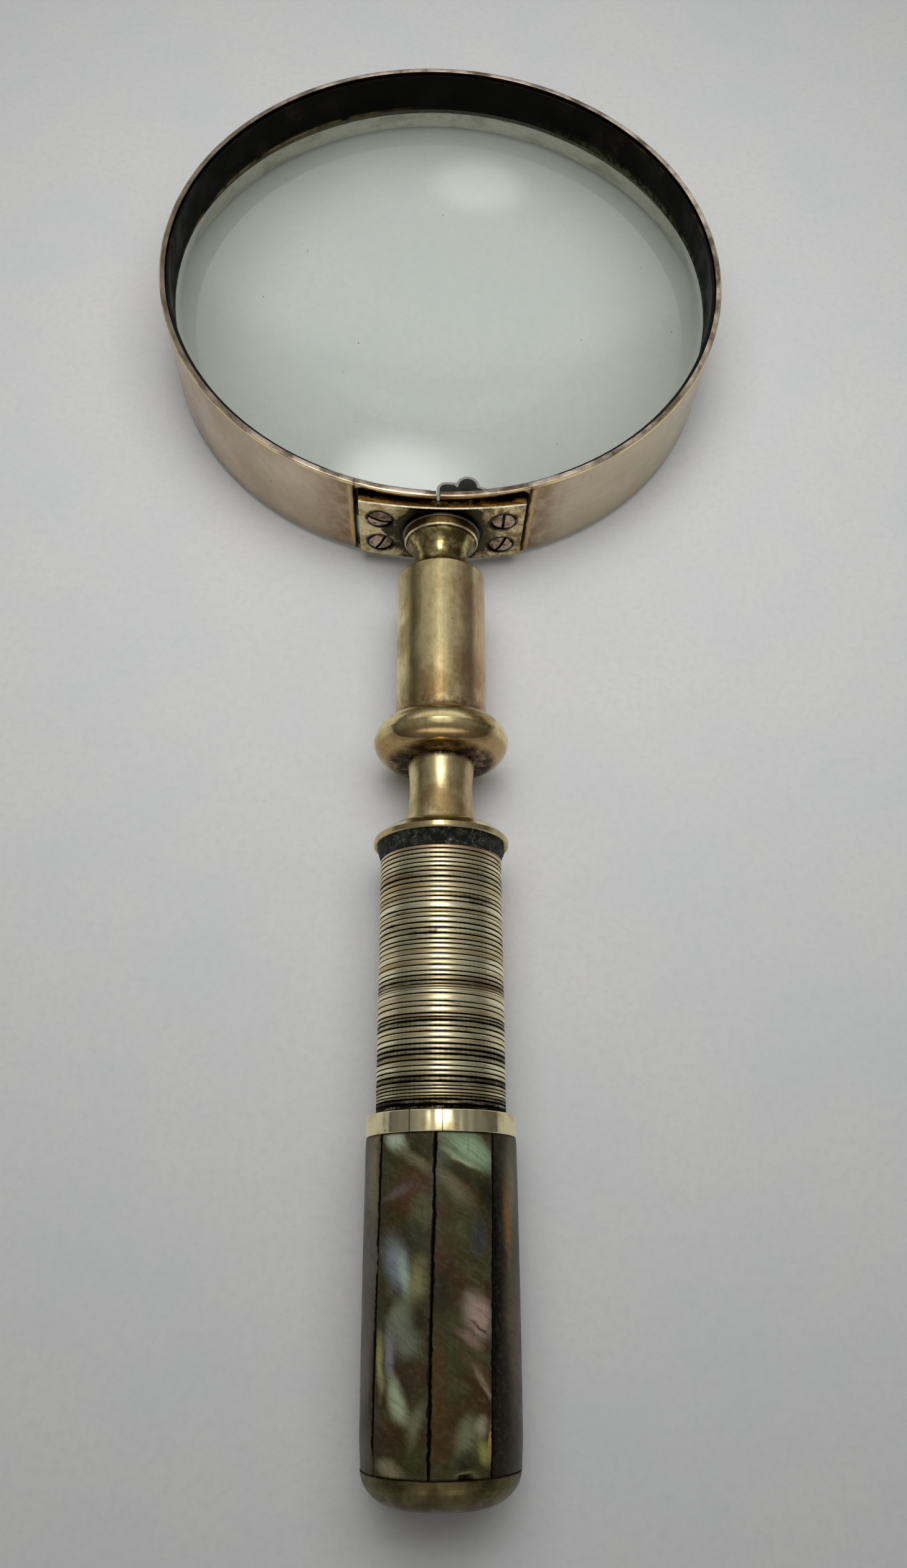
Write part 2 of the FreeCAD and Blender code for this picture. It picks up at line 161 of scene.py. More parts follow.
class Nodes:
    """Helpers that add nodes to one node tree. A mask is a value from 0 to 1."""

    def __init__(self, tree):
        self.tree = tree

    def add(self, kind, **settings):
        node = self.tree.nodes.new(kind)
        for key, value in settings.items():
            setattr(node, key, value)
        return node

    def feed(self, socket, value):
        if isinstance(value, bpy.types.NodeSocket):
            self.tree.links.new(value, socket)
        else:
            socket.default_value = value

    def axes(self, vector):
        """The X, Y and Z of a vector."""
        split = self.add("ShaderNodeSeparateXYZ")
        self.feed(split.inputs[0], vector)
        return split.outputs

    def math(self, operation, a, b=0.0):
        node = self.add("ShaderNodeMath", operation=operation)
        self.feed(node.inputs[0], a)
        self.feed(node.inputs[1], b)
        return node.outputs[0]

    def remap(self, value, low, high, to_low=0.0, to_high=1.0):
        node = self.add("ShaderNodeMapRange", interpolation_type="SMOOTHSTEP")
        for socket, setting in zip(node.inputs, (value, low, high, to_low, to_high)):
            self.feed(socket, setting)
        return node.outputs[0]

    def away(self, where, centre):
        """Distance from a centre."""
        gap = self.add("ShaderNodeVectorMath", operation="DISTANCE")
        self.feed(gap.inputs[0], where)
        gap.inputs[1].default_value = centre
        return gap.outputs["Value"]

    def combine(self, operation, first, *others):
        for other in others:
            first = self.math(operation, first, other)
        return first

    def both(self, *masks):
        return self.combine("MULTIPLY", *masks)

    def either(self, *masks):
        return self.combine("MAXIMUM", *masks)


class Paint(Nodes):
    """A procedural material. Lengths in it are in millimetres of the row frame."""

    def __init__(self, name, metallic=0.0, rough=0.5):
        self.material = bpy.data.materials.new(name)
        self.material.use_nodes = True
        super().__init__(self.material.node_tree)
        self.shader = self.tree.nodes["Principled BSDF"]
        self.set("Metallic", metallic)
        self.set("Roughness", rough)
        self.here = self.scaled(self.add("ShaderNodeTexCoord").outputs["Object"], 1 / MM)
        self.x, self.y, self.z = self.axes(self.here)

    def set(self, name, value):
        self.feed(self.shader.inputs[name], value)

    def base(self, mask, shade_a, shade_b):
        """Start the colour: one shade where the mask is 0, the other where it is 1."""
        self.colour = self.blend(mask, tint(*shade_a), tint(*shade_b))
        self.set("Base Color", self.colour)

    def layer(self, mask, shade, mode="MIX"):
        """Lay a shade, from 0-255 screen values, over the colour so far."""
        self.colour = self.blend(mask, self.colour, tint(*shade), mode)
        self.set("Base Color", self.colour)

    def blend(self, mask, a, b, mode="MIX"):
        node = self.add("ShaderNodeMix", data_type="RGBA", blend_type=mode)
        self.feed(node.inputs[0], mask)
        self.feed(node.inputs[6], a)
        self.feed(node.inputs[7], b)
        return node.outputs[2]

    def scaled(self, vector, scale):
        node = self.add("ShaderNodeVectorMath", operation="SCALE")
        self.feed(node.inputs[0], vector)
        node.inputs["Scale"].default_value = scale
        return node.outputs[0]

    def stretched(self, scale, shift=(0.0, 0.0, 0.0), turn=0.0, where=None):
        """Coordinates turned about Z (in degrees), then scaled, then shifted."""
        where = where or self.here
        if turn:
            rotate = self.add("ShaderNodeVectorRotate", rotation_type="Z_AXIS")
            self.feed(rotate.inputs["Vector"], where)
            rotate.inputs["Angle"].default_value = math.radians(turn)
            where = rotate.outputs[0]
        node = self.add("ShaderNodeMapping")
        self.feed(node.inputs["Vector"], where)
        node.inputs["Location"].default_value = shift
        node.inputs["Scale"].default_value = scale
        return node.outputs[0]

    def from_axis(self, axis, centre):
        """Distance from the line through a centre that runs along this axis: 0 to 2 for X to Z."""
        kept = [0.0 if k == axis else 1.0 for k in range(3)]
        flat = self.add("ShaderNodeVectorMath", operation="MULTIPLY")
        self.feed(flat.inputs[0], self.here)
        flat.inputs[1].default_value = kept
        return self.away(flat.outputs[0], [c * k for c, k in zip(centre, kept)])

    def near(self, value, target, reach):
        """1 where the value is at the target, fading to 0 this far from it."""
        return self.remap(self.math("ABSOLUTE", self.math("SUBTRACT", value, target)), reach, 0.0)

    def noise(self, size, detail=3.0, rough=0.5, where=None, distort=0.0, output="Fac"):
        """Cloudy value from 0 to 1 with features of about this size."""
        node = self.add("ShaderNodeTexNoise")
        self.feed(node.inputs["Vector"], where or self.here)
        node.inputs["Scale"].default_value = 1 / size
        node.inputs["Detail"].default_value = detail
        node.inputs["Roughness"].default_value = rough
        node.inputs["Distortion"].default_value = distort
        return node.outputs[output]

    def spread(self, cloud, low=0.0, high=1.0):
        """A noise, most of which is between 0.3 and 0.7, spread over this range."""
        return self.remap(cloud, 0.3, 0.7, low, high)

    def ragged(self, value, reach, *cloud):
        """A value shifted up to this far either way by a noise, so that its masks get ragged edges."""
        return self.math("ADD", value, self.spread(self.noise(*cloud), -reach, reach))

    def spots(self, cell, size, share):
        """Small dots: 1 inside. Only a share of the cells has one."""
        node = self.add("ShaderNodeTexVoronoi")
        self.feed(node.inputs["Vector"], self.here)
        node.inputs["Scale"].default_value = 1 / cell
        inside = self.remap(node.outputs["Distance"], size / cell, size / cell * 0.6)
        split = self.add("ShaderNodeSeparateColor")
        self.feed(split.inputs[0], node.outputs["Color"])
        return self.both(inside, self.math("LESS_THAN", split.outputs[0], share))

    def bump(self, height, depth, below=None):
        """Bumps this many millimetres deep where the height goes from 0 to 1."""
        node = self.add("ShaderNodeBump")
        node.inputs["Strength"].default_value = 1.0
        node.inputs["Distance"].default_value = depth * MM
        self.feed(node.inputs["Height"], height)
        if below is not None:
            self.feed(node.inputs["Normal"], below)
        self.set("Normal", node.outputs[0])
        return node.outputs[0]


def ring_marks(paint, marks):
    """Value that is 1 at each station in marks, fading over its width. Marks are (station, width)."""
    return paint.either(*(paint.near(paint.y, -station, width) for station, width in marks))


GRIME = (52, 34, 18)


def brass(name, clean, dull, rough, patina=0.5, size=8.0, lines=(30.0, 0.35, 30.0), specks=0.05,
          grime=(), tones=(), mottle=0.35):
    """Old brass: clean and dull tones in clouds, local tones, tool lines, specks and grime rings.

    A tone is (function that makes its mask from the paint, colour).
    """
    paint = Paint(name, metallic=1.0)
    clouds = paint.noise(size, 5.0, 0.6)
    paint.base(paint.remap(clouds, 0.62 - patina * 0.35, 0.72 - patina * 0.2), clean, dull)
    for mask, shade in tones:
        paint.layer(mask(paint), shade)
    grain = paint.noise(0.8, 3.0, 0.7, where=paint.stretched((1.0, 0.35, 1.0)))
    paint.layer(paint.remap(grain, 0.4, 0.7, 0.0, mottle), dull, "MULTIPLY")
    tool = paint.noise(1.0, 4.0, 0.7, where=paint.stretched([1 / s for s in lines]))
    paint.layer(paint.remap(tool, 0.35, 0.7, 0.0, 0.16), dull, "MULTIPLY")
    dark = paint.either(paint.spots(1.6, 0.16, specks),
                        paint.remap(paint.noise(0.5, 4.0, 0.75), 0.62, 0.8, 0.0, 0.35))
    if grime:
        uneven = paint.remap(paint.noise(1.8, 4.0, 0.7), 0.28, 0.6, 0.25, 1.0)
        dark = paint.either(dark, paint.both(ring_marks(paint, grime), uneven))
    paint.layer(dark, GRIME)
    low, high = rough
    surface = paint.remap(clouds, 0.3, 0.75, low, high)
    surface = paint.math("ADD", surface, paint.both(dark, 0.3))
    paint.set("Roughness", paint.math("ADD", surface, paint.remap(tool, 0.3, 0.8, -0.03, 0.06)))
    dents = paint.bump(paint.noise(5.0, 2.0, 0.5), 0.02)
    paint.bump(tool, 0.006, dents)
    return paint.material


# ---- materials ----

def flank(start, end, most=1.0, wander=2.5):
    """Tone mask that grows from one X to another, with a wandering edge."""
    def mask(paint):
        return paint.remap(paint.ragged(paint.x, wander, 6.0), start, end, 0.0, most)
    return mask


def dark_reflection_stripe(x, reach, most=1.0):
    """Tone mask for a lengthways stripe at one X, used for a painted reflection along a tube."""
    def mask(paint):
        return paint.both(paint.near(paint.ragged(paint.x, 0.7, 7.0), x, reach), most)
    return mask


def stretch_of(start, end, fade, most=1.0, blotch=None):
    """Tone mask between two stations, in blotches of this size if one is given."""
    def mask(paint):
        inside = paint.both(paint.remap(paint.y, -start + fade, -start - fade),
                            paint.remap(paint.y, -end - fade, -end + fade, 0.0, most))
        if blotch:
            inside = paint.both(inside, paint.remap(paint.noise(blotch, 4.0, 0.65), 0.35, 0.6))
        return inside
    return mask


def band_material():
    outer = radius("frame_band")
    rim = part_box("frame_band")[1].z / MM
    paint = Paint("band", metallic=1.0)
    clouds = paint.noise(11.0, 5.0, 0.6)
    paint.base(paint.spread(clouds), (204, 188, 166), (180, 161, 136))
    wander = paint.spread(clouds, -14, 14)
    olive = paint.remap(paint.math("ADD", paint.x, wander), 8.0, 40.0, 0.0, 0.7)
    paint.layer(olive, (196, 186, 156))
    pink = paint.remap(paint.noise(8.0, 4.0, 0.6, where=paint.stretched((1, 1, 0.6), (9, 2, 4))),
                       0.48, 0.7, 0.0, 0.32)
    paint.layer(pink, (186, 154, 132))
    front = paint.remap(paint.y, -40.0, -48.0)
    wide = paint.math("ABSOLUTE", paint.x)
    broken = paint.remap(paint.noise(2.5, 4.0, 0.65), 0.3, 0.65, 0.35, 1.0)
    stain = paint.both(front, paint.remap(wide, 24.0, 15.5), broken)
    paint.layer(stain, (138, 110, 74))
    ragged = paint.ragged(wide, 0.14, 3.5, 3.0, 0.6)
    gold = paint.both(front, paint.near(ragged, 16.0, 0.55), broken, paint.remap(paint.z, 18.8, 17.8))
    paint.layer(gold, (206, 172, 108))
    scratches = paint.noise(1.0, 3.0, 0.7, where=paint.stretched((0.05, 0.05, 3.0)))
    paint.layer(paint.remap(scratches, 0.5, 0.75, 0.0, 0.25), (150, 122, 94))
    patch = paint.remap(paint.noise(14.0, 2.0), 0.5, 0.62)
    # Dark pits, and painted shade in a line along the window's edges.
    pits_and_edge_shade = paint.either(paint.both(paint.spots(2.4, 0.42, 0.2), front, patch),
                        paint.both(paint.spots(0.9, 0.14, 0.1), 0.6),
                        paint.both(front, paint.near(ragged, 15.2, 0.5)))
    paint.layer(pits_and_edge_shade, (40, 27, 16))
    radial = paint.from_axis(2, (0, 0, 0))
    # Painted reflection on the top of the rim: pale, with darker blotches that grow towards -X.
    top = paint.remap(paint.z, rim - 0.2, rim - 0.03)
    dark = paint.remap(paint.noise(5.0, 4.0, 0.6), 0.35, 0.65)
    dark = paint.both(dark, paint.remap(paint.x, -48.0, -15.0, 0.25, 1.0))
    rim_top_reflection = paint.blend(dark, tint(92, 80, 68), tint(238, 220, 206))
    paint.colour = paint.blend(paint.both(top, 0.85), paint.colour, rim_top_reflection)
    # Painted highlight along the outer top edge of the rim, with some edge wear.
    wear_and_highlight = paint.both(paint.remap(paint.z, rim - 0.75, rim - 0.3),
                      paint.remap(radial, outer - 0.3, outer - 0.1),
                      paint.remap(paint.noise(6.0, 3.0), 0.35, 0.6, 0.25, 1.0))
    paint.layer(wear_and_highlight, (255, 234, 180))
    inside = paint.remap(radial, outer - 0.95, outer - 1.05)
    paint.layer(inside, (36, 30, 22))
    surface = paint.spread(paint.noise(7.0, 4.0, 0.6), 0.26, 0.4)
    paint.set("Roughness", paint.math("ADD", surface, paint.both(pits_and_edge_shade, 0.3)))
    dents = paint.bump(paint.noise(9.0, 2.0, 0.5), 0.06)
    paint.bump(scratches, 0.01, dents)
    return paint.material


def strip_material():
    """Blackened strip, with brown wear, an olive patch and verdigris beside the glass."""
    paint = Paint("blackened strip", metallic=0.2, rough=0.6)
    brown = paint.remap(paint.noise(7.0, 5.0, 0.65), 0.5, 0.74)
    side = paint.remap(paint.math("ABSOLUTE", paint.x), 12.0, 46.0, 0.08, 0.9)
    paint.base(paint.both(brown, side), (9, 8, 7), (60, 50, 34))
    green = paint.both(paint.near(paint.z, 11.8, 1.3), paint.remap(paint.x, 14.0, 44.0),
                       paint.remap(paint.noise(1.2, 4.0, 0.7), 0.42, 0.6))
    paint.layer(green, (92, 104, 62))
    gold = paint.both(paint.near(paint.z, 11.6, 0.6), paint.remap(paint.x, 0.0, -30.0),
                      paint.remap(paint.noise(3.0, 3.0), 0.35, 0.6))
    paint.layer(gold, (150, 132, 84))
    hook = paint.remap(paint.y, -46.6, -47.4)
    tongue = paint.both(hook, paint.remap(paint.math("ABSOLUTE", paint.x), 8.5, 6.5))
    paint.layer(tongue, (134, 137, 131))
    # Painted highlight: a pale line along the top edge of the hook.
    edge = paint.both(hook, paint.remap(paint.z, 18.56, 18.68))
    paint.layer(edge, (152, 153, 146))
    paint.set("Roughness", paint.spread(paint.noise(5.0, 3.0), 0.42, 0.65))
    paint.set("Specular IOR Level", 0.2)
    paint.bump(paint.noise(1.5, 4.0, 0.6), 0.02)
    return paint.material


def glass_material():
    """Clear glass that lets lamp light through, with a few specks of dust on it. Painted shade: it is
    tinted darker towards its rim and far side, and lets less lamp light through near its rim, so that
    the floor there is shaded.
    """
    paint = Paint("lens glass", rough=0.0)
    # Mask of the painted shade: towards the rim of the glass, least on its near side.
    rim = paint.both(paint.remap(paint.from_axis(2, (0, 0, 0)), 26.0, 52.0),
                     paint.remap(paint.y, -45.0, 0.0, 0.45, 1.0))
    paint.base(rim, (231, 235, 230), (227, 230, 224))
    paint.set("IOR", 1.52)
    paint.set("Transmission Weight", 1.0)
    dust = paint.both(paint.spots(2.6, 0.17, 0.07), 0.75)
    rays = paint.add("ShaderNodeLightPath")
    clear = paint.add("ShaderNodeBsdfTransparent")
    paint.feed(clear.inputs["Color"], paint.blend(rim, tint(246, 248, 246), tint(200, 202, 198)))
    mix = paint.add("ShaderNodeMixShader")
    grain = paint.add("ShaderNodeBsdfDiffuse")
    grain.inputs["Color"].default_value = tint(60, 58, 54)
    dusty = paint.add("ShaderNodeMixShader")
    links = paint.tree.links
    links.new(dust, dusty.inputs[0])
    links.new(paint.shader.outputs[0], dusty.inputs[1])
    links.new(grain.outputs[0], dusty.inputs[2])
    links.new(rays.outputs["Is Shadow Ray"], mix.inputs[0])
    links.new(dusty.outputs[0], mix.inputs[1])
    links.new(clear.outputs[0], mix.inputs[2])
    links.new(mix.outputs[0], paint.tree.nodes["Material Output"].inputs["Surface"])
    return paint.material


def ground_edge_material():
    """Ground grey edge of the lens."""
    paint = Paint("ground edge", rough=0.6)
    grit = paint.noise(0.6, 4.0, 0.7)
    paint.base(paint.spread(grit), (70, 70, 60), (118, 118, 104))
    paint.bump(grit, 0.02)
    return paint.material


def cement_material():
    paint = Paint("cement", rough=0.6)
    lumps = paint.noise(1.1, 5.0, 0.7)
    paint.base(paint.remap(lumps, 0.42, 0.64), (5, 6, 4), (52, 55, 46))
    flecks = paint.noise(0.7, 3.0, 0.7, where=paint.stretched((1, 1, 1), (5, 5, 5)))
    flecks = paint.remap(flecks, 0.58, 0.7)
    paint.layer(paint.both(flecks, 0.7), (130, 136, 122))
    paint.set("Specular IOR Level", 0.3)
    paint.bump(lumps, 0.55)
    return paint.material


def wire_material(outer, bands):
    """Bright brass wire, with painted shade down in the grooves and darker bands where dirt has
    collected.
    """
    paint = Paint("wire", metallic=1.0)
    up = paint.math("SUBTRACT", paint.z, AXIS_Z)
    square = paint.math("ADD", paint.both(paint.x, paint.x), paint.both(up, up))
    depth = paint.math("SUBTRACT", outer, paint.math("SQRT", square))
    streaks = paint.noise(1.0, 5.0, 0.65, where=paint.stretched((0.05, 1.2, 0.05)))
    paint.base(paint.remap(streaks, 0.4, 0.66), (255, 246, 206), (206, 184, 134))
    start, end = stations("wire_winding")
    wear_and_highlight = paint.remap(paint.noise(1.0, 4.0, 0.7, where=paint.stretched((0.1, 0.5, 0.1), (3, 8, 1))),
                       0.55, 0.74, 0.0, 0.7)
    for place, reach, strength in bands:
        band = paint.near(paint.y, -lerp(start, end, place), reach * (end - start))
        wear_and_highlight = paint.either(wear_and_highlight, paint.both(band, strength))
    crust = paint.noise(0.9, 4.0, 0.7, where=paint.stretched((0.25, 1.0, 0.25)))
    wear_and_highlight = paint.both(wear_and_highlight, paint.remap(crust, 0.3, 0.6, 0.45, 1.0))
    paint.layer(wear_and_highlight, (92, 62, 38))
    head = paint.remap(paint.y, -start - 1.6, -start - 0.3, 0.0, 0.5)
    paint.layer(head, (206, 150, 120))
    # Painted shade down in the grooves, reaching further up the turns where the wire is dirty.
    shallow = paint.math("SUBTRACT", 0.05, paint.both(wear_and_highlight, 0.04))
    deep = paint.math("SUBTRACT", 0.12, paint.both(wear_and_highlight, 0.06))
    groove_shade = paint.remap(depth, shallow, deep)
    paint.layer(groove_shade, (10, 6, 4))
    paint.set("Roughness", paint.math("ADD", paint.spread(streaks, 0.28, 0.4), paint.both(groove_shade, 0.4)))
    paint.bump(paint.noise(0.7, 3.0, 0.6, where=paint.stretched((0.3, 1.2, 0.3))), 0.012)
    return paint.material


def wood_material():
    paint = Paint("core wood", rough=0.6)
    grain = paint.noise(1.0, 5.0, 0.6, where=paint.stretched((0.8, 0.06, 0.8)), distort=0.6)
    paint.base(paint.spread(grain), (22, 15, 10), (58, 40, 26))
    paint.bump(grain, 0.1)
    return paint.material


def steel_material():
    paint = Paint("rod steel", metallic=1.0)
    lines = paint.noise(1.0, 4.0, 0.6, where=paint.stretched((1.5, 0.08, 1.5)))
    paint.base(lines, (120, 117, 112), (168, 165, 160))
    paint.set("Roughness", paint.spread(lines, 0.3, 0.5))
    return paint.material


def floor_material():
    paint = Paint("floor", rough=0.7)
    mottle = paint.spread(paint.noise(30.0, 4.0, 0.6))
    paint.base(mottle, (228, 230, 232), (234, 234, 234))
    grain = paint.noise(1.4, 3.0, 0.7)
    paint.layer(paint.remap(grain, 0.4, 0.7, 0.0, 0.5), (222, 224, 225))
    paint.layer(paint.both(paint.spots(26.0, 0.35, 0.3), 0.6), (150, 148, 144))
    paint.bump(grain, 0.05)
    # Painted light: the floor glows, fading in from 240 to 620 mm away from the line x = 0, y = -80 mm.
    paint.set("Emission Color", tint(235, 235, 232))
    paint.set("Emission Strength", paint.remap(paint.from_axis(2, (0, -80, 0)), 240.0, 620.0, 0.0, 0.42))
    paint.set("Specular IOR Level", 0.1)
    return paint.material


def plate_material(screws, washer_r):
    """Plate brass: pale at one end, with a painted shadow round the handle, painted shade and grime in
    its gaps, painted shade and dirt at the back of its top face, and a painted highlight along its front
    edge.
    """
    low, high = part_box("saddle_plate")
    top = high.z / MM
    middle = (0.0, 0.0, AXIS_Z)

    # Painted shadow of the collar on the plate, round the handle.
    def collar_shadow(paint):
        edge = paint.ragged(paint.from_axis(1, middle), 1.6, 3.0, 4.0, 0.6)
        return paint.both(paint.remap(edge, washer_r + 3.6, washer_r + 2.0),
                          paint.remap(paint.x, 14.0, 6.0, 0.6, 1.0))

    # Painted shade, with grime, in the gaps round the washer and the screw heads.
    def gap_shade_and_grime(paint):
        rings = [paint.near(paint.from_axis(1, middle), washer_r + 0.3, 0.7)]
        for x, height in screws:
            rings.append(paint.remap(paint.from_axis(1, (x, 0.0, height)), 2.95, 2.35))
        return paint.both(paint.either(*rings),
                          paint.remap(paint.noise(1.0, 4.0, 0.7), 0.25, 0.5, 0.5, 1.0))

    def top_face(paint):
        return paint.remap(paint.z, top - 0.12, top - 0.02)

    def behind(paint):
        """Distance behind the plate's curved front face."""
        bow = paint.both(paint.x, paint.x, -0.0056)
        return paint.math("ADD", paint.math("ADD", paint.y, bow), -low.y / MM)

    def streaks(paint):
        """Dirt drawn out along the top face."""
        drawn = paint.noise(1.0, 4.0, 0.7, where=paint.stretched((0.3, 2.2, 1.0)))
        return paint.both(top_face(paint), paint.remap(drawn, 0.42, 0.62, 0.0, 0.85))

    def soot_and_shade(paint):
        """The back of the top face: painted shade, with dirt that has worked its way forward over it."""
        ragged = paint.ragged(behind(paint), 0.4, 1.6, 4.0, 0.7)
        return paint.both(top_face(paint), paint.remap(ragged, 1.1, 1.6))

    # Painted highlight along the top front edge.
    def front_edge_highlight(paint):
        return paint.both(paint.near(paint.z, top - 0.06, 0.2), paint.remap(behind(paint), 0.34, 0.16))

    def blotches(paint):
        return paint.both(flank(-7.0, 1.0, 1.0, 1.5)(paint),
                          paint.remap(paint.noise(1.6, 4.0, 0.7), 0.42, 0.6, 0.0, 0.85))

    tones = [(blotches, (116, 92, 52)), (collar_shadow, (60, 52, 28)), (gap_shade_and_grime, (14, 10, 6)),
             (top_face, (190, 144, 70)), (streaks, (84, 56, 22)), (soot_and_shade, (12, 8, 4)),
             (front_edge_highlight, (255, 250, 226))]
    return brass("plate brass", (224, 208, 162), (172, 148, 100), (0.24, 0.4), patina=0.45, size=3.0,
                 lines=(0.5, 30.0, 6.0), specks=0.14, tones=tones)


def screw_material(slot_station):
    # Painted shade: the screws darken from their slot bottoms down into their counterbores.
    def deep(paint):
        return paint.remap(paint.y, -slot_station - 0.12, -slot_station + 0.1)

    return brass("screw brass", (198, 172, 150), (120, 96, 80), (0.24, 0.36), patina=0.45, size=1.5,
                 lines=(2.0, 2.0, 0.3), specks=0.1, tones=[(deep, (10, 7, 5))])


# ---- mother of pearl ----

# Patches of each stave in view: (across, along, half width, half length, lean, colour, strength).
# Across and along are in millimetres from the stave's first seam and from the ferrule. The lean is in
# degrees, towards the second seam.
PATCHES = {
    6: [(6.8, 2, 2.2, 2, 0, (54, 46, 32), 0.8), (2.4, 1, 1, 2.1, 55, (166, 176, 152), 1),
        (5.8, 3.8, 0.8, 3.2, 57, (116, 110, 84), 0.75), (2, 6, 2, 2.4, 0, (70, 72, 46), 0.6),
        (5.6, 7.6, 2.6, 2.3, 25, (82, 58, 48), 0.85), (3, 7.7, 0.5, 2.4, -62, (104, 92, 86), 0.7),
        (7, 10.3, 1.7, 2.3, 0, (92, 92, 66), 0.75), (6.4, 13.6, 2.2, 1.8, 40, (48, 52, 42), 0.7),
        (3.2, 16.6, 1.9, 3.2, 18, (124, 134, 138), 1), (4.7, 18.2, 0.9, 2.6, 14, (156, 176, 160), 0.85),
        (6.6, 18.9, 1.4, 2.7, 0, (132, 130, 94), 0.85), (7.2, 23, 1.5, 2.4, 0, (50, 40, 26), 0.8),
        (3.9, 23.6, 1.7, 3, -28, (122, 128, 106), 0.85), (5.4, 26, 1.8, 1.9, -35, (116, 122, 104), 0.8),
        (1, 28.6, 0.6, 3.4, 3, (158, 150, 100), 1), (2.6, 27.6, 0.8, 3, 5, (136, 132, 134), 0.85),
        (5.9, 30.5, 2.2, 2.6, 20, (62, 52, 38), 0.8), (3.9, 32.7, 1.25, 2.7, 28, (164, 172, 142), 1),
        (6.5, 35.4, 0.9, 2.3, -22, (116, 114, 90), 0.9), (3.4, 37.4, 2.4, 1.6, 0, (60, 48, 30), 0.8),
        (2.7, 40.5, 0.9, 1.9, 80, (134, 126, 98), 0.95)],
    7: [(1.2, 2.6, 1.2, 2.4, 0, (84, 88, 66), 0.8), (5.2, 2.4, 1.7, 4.4, 60, (140, 164, 130), 1),
        (3.9, 3.7, 0.3, 2.8, 62, (158, 174, 138), 0.9), (4.4, 5.8, 0.9, 4.2, 58, (50, 50, 32), 0.85),
        (2.4, 7.2, 1.2, 3.6, 52, (108, 102, 78), 0.8), (7.6, 8.4, 1.4, 2.2, 0, (30, 32, 20), 0.8),
        (4.2, 12, 1.8, 2.6, 0, (70, 72, 50), 0.6), (6.5, 13.3, 1.3, 2.2, 0, (58, 64, 66), 0.75),
        (1.2, 20, 1.6, 3.4, 0, (32, 26, 12), 0.8), (5, 20.6, 0.8, 1.1, 45, (104, 102, 86), 0.9),
        (6.2, 23, 1.9, 2.8, 22, (164, 142, 130), 1), (6.6, 24.6, 0.16, 2, 58, (60, 44, 36), 0.8),
        (5.2, 25.8, 0.5, 2.2, 55, (132, 110, 98), 0.85), (8, 24.6, 0.5, 1.2, 0, (108, 106, 80), 0.8),
        (1, 31, 1, 7, 0, (72, 50, 20), 0.75), (6.2, 29.4, 0.8, 3.2, 45, (92, 78, 62), 0.8),
        (7.3, 31, 0.4, 2.6, 40, (134, 118, 96), 1), (4.8, 36.7, 1.5, 2.1, -20, (116, 118, 90), 0.9),
        (6.7, 35.4, 0.8, 1.1, 0, (146, 140, 118), 1), (7.2, 38.3, 0.8, 1.5, 20, (140, 142, 84), 1),
        (8.1, 37.2, 0.35, 1.8, 0, (170, 142, 72), 1), (4.6, 39.2, 1.2, 1.2, 0, (28, 28, 14), 0.8),
        (5.2, 40.9, 0.5, 1.3, 80, (120, 124, 86), 0.8), (4.6, 40.62, 0.8, 0.1, 4, (160, 150, 118), 1),
        (5, 41.3, 1.1, 0.5, 0, (4, 3, 2), 1)],
    0: [(4.4, 7.5, 1.7, 6.5, 0, (124, 112, 86), 0.85), (3, 11.5, 1, 5, 8, (142, 100, 46), 0.95),
        (4.6, 24, 2.2, 9, 0, (104, 88, 68), 0.75), (0.4, 20, 2.2, 26, 0, (5, 4, 3), 1),
        (2.2, 34, 2, 9, 0, (26, 20, 12), 0.9), (3.6, 17, 0.2, 3, 18, (104, 92, 76), 0.8)],
    5: [(6.8, 5, 2.4, 7.5, 0, (128, 120, 94), 0.9), (8.3, 4, 0.9, 5, 0, (74, 64, 38), 0.7),
        (6.4, 16.5, 2.8, 4.5, 0, (106, 102, 94), 0.8), (6.2, 27.5, 2.4, 7, 0, (112, 94, 92), 0.9),
        (8.1, 33, 0.9, 7.5, 0, (56, 40, 20), 0.85), (6.6, 38.5, 2.2, 2.5, 0, (100, 90, 72), 0.7)],
}
PEARL_TONES = [(150, 164, 136), (124, 132, 136), (158, 138, 126), (150, 140, 94), (112, 108, 84),
               (84, 60, 48), (40, 36, 24)]


def loose_patches(rng):
    """Patches for a stave that is out of view."""
    count = 9
    shell_length = 41.0
    return [(rng.uniform(0.5, 8.0), shell_length * (k + rng.random()) / count, rng.uniform(0.7, 2.0),
             rng.uniform(1.6, 3.4), rng.uniform(-40, 60), rng.choice(PEARL_TONES), rng.uniform(0.6, 1.0))
            for k in range(count)]


UV_PER_MM = 0.01


